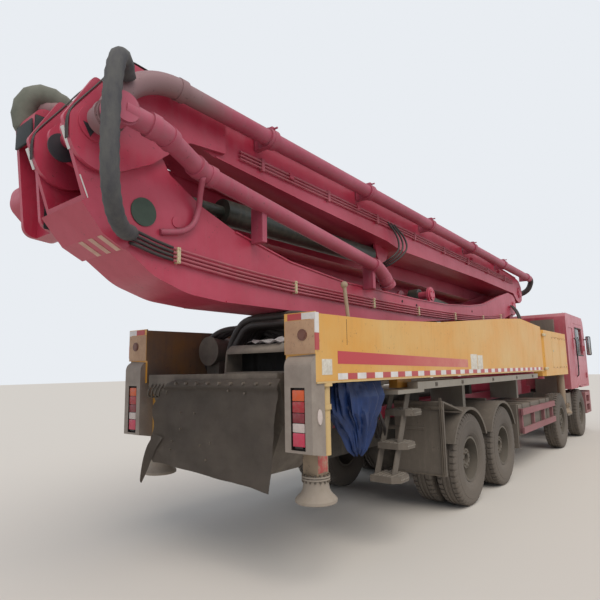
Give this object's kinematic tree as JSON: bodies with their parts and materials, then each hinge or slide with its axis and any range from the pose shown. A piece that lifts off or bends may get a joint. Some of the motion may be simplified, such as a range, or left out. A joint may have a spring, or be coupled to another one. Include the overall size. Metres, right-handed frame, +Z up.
{
  "type": "truck-mounted concrete pump",
  "caption": "Truck carrying a folding placing boom, concrete pump and receiving hopper, with swing-out legs, jacks, tilting cab and steered wheels",
  "frame": {"origin": "on the ground, in the middle plane and midway between the boom tail and the front bumper", "axes": "+X towards the cab, +Y to the left side, +Z up"},
  "size_m": [13.9396, 2.8, 3.9881],
  "materials": {
    "chassis_paint": "matte, dusty",
    "boom_paint": "satin, dusty",
    "engine_iron": "rough",
    "guard_paint": "satin, faded",
    "dusty_sheet": "matte, dusty",
    "deck_plate": "chequered, dusty",
    "dark_steel": "matte",
    "apron_rubber": "matte, dusty",
    "blue_sheet": "woven plastic sheet",
    "cab_paint": "gloss, faded",
    "cab_trim": "grained",
    "cab_glass": "tinted",
    "black_plastic": "matte",
    "cylinder_paint": "satin",
    "rod_chrome": "polished",
    "pipe_paint": "dusty",
    "tyre_rubber": "matte, dusty",
    "rim_paint": "satin, dusty",
    "beam_paint": "satin, dusty",
    "jack_steel": "satin, dusty"
  },
  "bodies": {
    "root": {"frame_rails": "chassis_paint", "subframe": "boom_paint", "axles": "chassis_paint", "engine": "engine_iron", "tanks": "chassis_paint", "side_guards": "guard_paint", "mudguards": "dusty_sheet", "deck": "deck_plate", "pump_unit": "dark_steel", "hopper": "dark_steel", "apron": "apron_rubber", "valve_cover": "blue_sheet", "bumper": "cab_paint"},
    "grate": {"hopper_grate": "dark_steel"},
    "cab": {"cab_shell": "cab_paint", "cab_interior": "cab_trim", "cab_glass": "cab_glass", "mirrors": "black_plastic"},
    "door_left": {"door_left": "cab_paint"},
    "door_right": {"door_right": "cab_paint"},
    "turret": {"turret": "boom_paint"},
    "arm_1": {"arm_1": "boom_paint", "pipe_1": "pipe_paint"},
    "arm_2": {"arm_2": "boom_paint", "cylinder_2": "cylinder_paint", "pipe_2": "pipe_paint"},
    "arm_3": {"arm_3": "boom_paint", "pipe_3": "pipe_paint"},
    "arm_4": {"arm_4": "boom_paint"},
    "arm_5": {"arm_5": "boom_paint"},
    "lift_barrel": {"lift_barrel": "cylinder_paint"},
    "lift_rod": {"lift_rod": "rod_chrome"},
    "knuckle_1_left": {"knuckle_1_left": "chassis_paint"},
    "knuckle_1_right": {"knuckle_1_right": "chassis_paint"},
    "knuckle_2_left": {"knuckle_2_left": "chassis_paint"},
    "knuckle_2_right": {"knuckle_2_right": "chassis_paint"},
    "wheel_1_left": {"tyre_1_left": "tyre_rubber", "rim_1_left": "rim_paint"},
    "wheel_1_right": {"tyre_1_right": "tyre_rubber", "rim_1_right": "rim_paint"},
    "wheel_2_left": {"tyre_2_left": "tyre_rubber", "rim_2_left": "rim_paint"},
    "wheel_2_right": {"tyre_2_right": "tyre_rubber", "rim_2_right": "rim_paint"},
    "wheel_3_left": {"tyre_3_left": "tyre_rubber", "rim_3_left": "rim_paint"},
    "wheel_3_right": {"tyre_3_right": "tyre_rubber", "rim_3_right": "rim_paint"},
    "wheel_4_left": {"tyre_4_left": "tyre_rubber", "rim_4_left": "rim_paint"},
    "wheel_4_right": {"tyre_4_right": "tyre_rubber", "rim_4_right": "rim_paint"},
    "leg_front_left": {"leg_front_left": "beam_paint"},
    "jack_front_left": {"jack_front_left": "jack_steel"},
    "leg_front_right": {"leg_front_right": "beam_paint"},
    "jack_front_right": {"jack_front_right": "jack_steel"},
    "leg_rear_left": {"leg_rear_left": "beam_paint"},
    "jack_rear_left": {"jack_rear_left": "jack_steel"},
    "leg_rear_right": {"leg_rear_right": "beam_paint"},
    "jack_rear_right": {"jack_rear_right": "jack_steel"}
  },
  "joints": [
    {"name": "steer_1_left", "type": "hinge", "parent": "root", "child": "knuckle_1_left", "pos_m": [5.6, 0.86, 0.56], "axis": [0, 0, 1], "range_deg": [-35, 35]},
    {"name": "steer_1_right", "type": "hinge", "parent": "root", "child": "knuckle_1_right", "pos_m": [5.6, -0.86, 0.56], "axis": [0, 0, 1], "range_deg": [-35, 35]},
    {"name": "steer_2_left", "type": "hinge", "parent": "root", "child": "knuckle_2_left", "pos_m": [3.41, 0.86, 0.56], "axis": [0, 0, 1], "range_deg": [-21, 21]},
    {"name": "steer_2_right", "type": "hinge", "parent": "root", "child": "knuckle_2_right", "pos_m": [3.41, -0.86, 0.56], "axis": [0, 0, 1], "range_deg": [-21, 21]},
    {"name": "roll_1_left", "type": "hinge", "parent": "knuckle_1_left", "child": "wheel_1_left", "pos_m": [5.6, 1.09, 0.56], "axis": [0, 1, 0], "continuous": true},
    {"name": "roll_1_right", "type": "hinge", "parent": "knuckle_1_right", "child": "wheel_1_right", "pos_m": [5.6, -1.09, 0.56], "axis": [0, 1, 0], "continuous": true},
    {"name": "roll_2_left", "type": "hinge", "parent": "knuckle_2_left", "child": "wheel_2_left", "pos_m": [3.41, 1.09, 0.56], "axis": [0, 1, 0], "continuous": true},
    {"name": "roll_2_right", "type": "hinge", "parent": "knuckle_2_right", "child": "wheel_2_right", "pos_m": [3.41, -1.09, 0.56], "axis": [0, 1, 0], "continuous": true},
    {"name": "roll_3_left", "type": "hinge", "parent": "root", "child": "wheel_3_left", "pos_m": [-0.62, 1.09, 0.56], "axis": [0, 1, 0], "continuous": true},
    {"name": "roll_3_right", "type": "hinge", "parent": "root", "child": "wheel_3_right", "pos_m": [-0.62, -1.09, 0.56], "axis": [0, 1, 0], "continuous": true},
    {"name": "roll_4_left", "type": "hinge", "parent": "root", "child": "wheel_4_left", "pos_m": [-1.97, 1.09, 0.56], "axis": [0, 1, 0], "continuous": true},
    {"name": "roll_4_right", "type": "hinge", "parent": "root", "child": "wheel_4_right", "pos_m": [-1.97, -1.09, 0.56], "axis": [0, 1, 0], "continuous": true},
    {"name": "cab_tilt", "type": "hinge", "parent": "root", "child": "cab", "pos_m": [6.95, 0, 1.12], "axis": [0, 1, 0], "range_deg": [0, 50]},
    {"name": "door_left", "type": "hinge", "parent": "cab", "child": "door_left", "pos_m": [6.703, 1.254, 1.9], "axis": [0, 0, -1], "range_deg": [0, 70]},
    {"name": "door_right", "type": "hinge", "parent": "cab", "child": "door_right", "pos_m": [6.703, -1.254, 1.9], "axis": [0, 0, 1], "range_deg": [0, 70]},
    {"name": "grate", "type": "hinge", "parent": "root", "child": "grate", "pos_m": [-4.68, 0, 1.69], "axis": [0, 1, 0], "range_deg": [0, 80]},
    {"name": "leg_rear_left", "type": "hinge", "parent": "root", "child": "leg_rear_left", "pos_m": [1.85, 1, 1.9], "axis": [0, 0, -1], "range_deg": [0, 60]},
    {"name": "leg_front_left", "type": "hinge", "parent": "root", "child": "leg_front_left", "pos_m": [2.44, 1.05, 1.9], "axis": [0, 0, 1], "range_deg": [0, 90]},
    {"name": "jack_rear_left", "type": "slide", "parent": "leg_rear_left", "child": "jack_rear_left", "axis": [0, 0, -1], "range_m": [0, 0.85]},
    {"name": "jack_front_left", "type": "slide", "parent": "leg_front_left", "child": "jack_front_left", "axis": [0, 0, -1], "range_m": [0, 0.75]},
    {"name": "leg_rear_right", "type": "hinge", "parent": "root", "child": "leg_rear_right", "pos_m": [1.85, -1, 1.9], "axis": [0, 0, 1], "range_deg": [0, 60]},
    {"name": "leg_front_right", "type": "hinge", "parent": "root", "child": "leg_front_right", "pos_m": [2.44, -1.05, 1.9], "axis": [0, 0, -1], "range_deg": [0, 90]},
    {"name": "jack_rear_right", "type": "slide", "parent": "leg_rear_right", "child": "jack_rear_right", "axis": [0, 0, -1], "range_m": [0, 0.85]},
    {"name": "jack_front_right", "type": "slide", "parent": "leg_front_right", "child": "jack_front_right", "axis": [0, 0, -1], "range_m": [0, 0.75]},
    {"name": "slew", "type": "hinge", "parent": "root", "child": "turret", "pos_m": [3.25, 0, 1.85], "axis": [0, 0, 1], "range_deg": [-90, 90]},
    {"name": "lift", "type": "hinge", "parent": "turret", "child": "arm_1", "pos_m": [3.3, -0.18, 3.05], "axis": [0, 1, 0], "range_deg": [0, 85]},
    {"name": "unfold_2", "type": "hinge", "parent": "arm_1", "child": "arm_2", "pos_m": [-6.7, -0.18, 3.4], "axis": [0, -1, 0], "range_deg": [0, 180]},
    {"name": "unfold_3", "type": "hinge", "parent": "arm_2", "child": "arm_3", "pos_m": [3.85, 0.3, 3.4], "axis": [0, 1, 0], "range_deg": [0, 180]},
    {"name": "unfold_4", "type": "hinge", "parent": "arm_3", "child": "arm_4", "pos_m": [-6.54, 0.6, 3.15], "axis": [0, -1, 0], "range_deg": [0, 180]},
    {"name": "unfold_5", "type": "hinge", "parent": "arm_4", "child": "arm_5", "pos_m": [3.45, 0.68, 3.42], "axis": [0, 1, 0], "range_deg": [0, 180]},
    {"name": "lift_swivel", "type": "hinge", "parent": "arm_1", "child": "lift_barrel", "pos_m": [-1.15, -0.18, 2.82], "axis": [0, -1, 0], "range_deg": [0, 2]},
    {"name": "lift_stroke", "type": "slide", "parent": "lift_barrel", "child": "lift_rod", "axis": [0.9959, 0, -0.091], "range_m": [0, 0.955]}
  ],
  "couplings": [
    {"joint": "steer_1_right", "follows": "steer_1_left", "ratio": 1},
    {"joint": "steer_2_left", "follows": "steer_1_left", "ratio": 0.6},
    {"joint": "steer_2_right", "follows": "steer_1_left", "ratio": 0.6},
    {"joint": "lift_swivel", "follows": "lift", "ratio": 0.02},
    {"joint": "lift_stroke", "follows": "lift", "m_per_rad": 0.641}
  ]
}
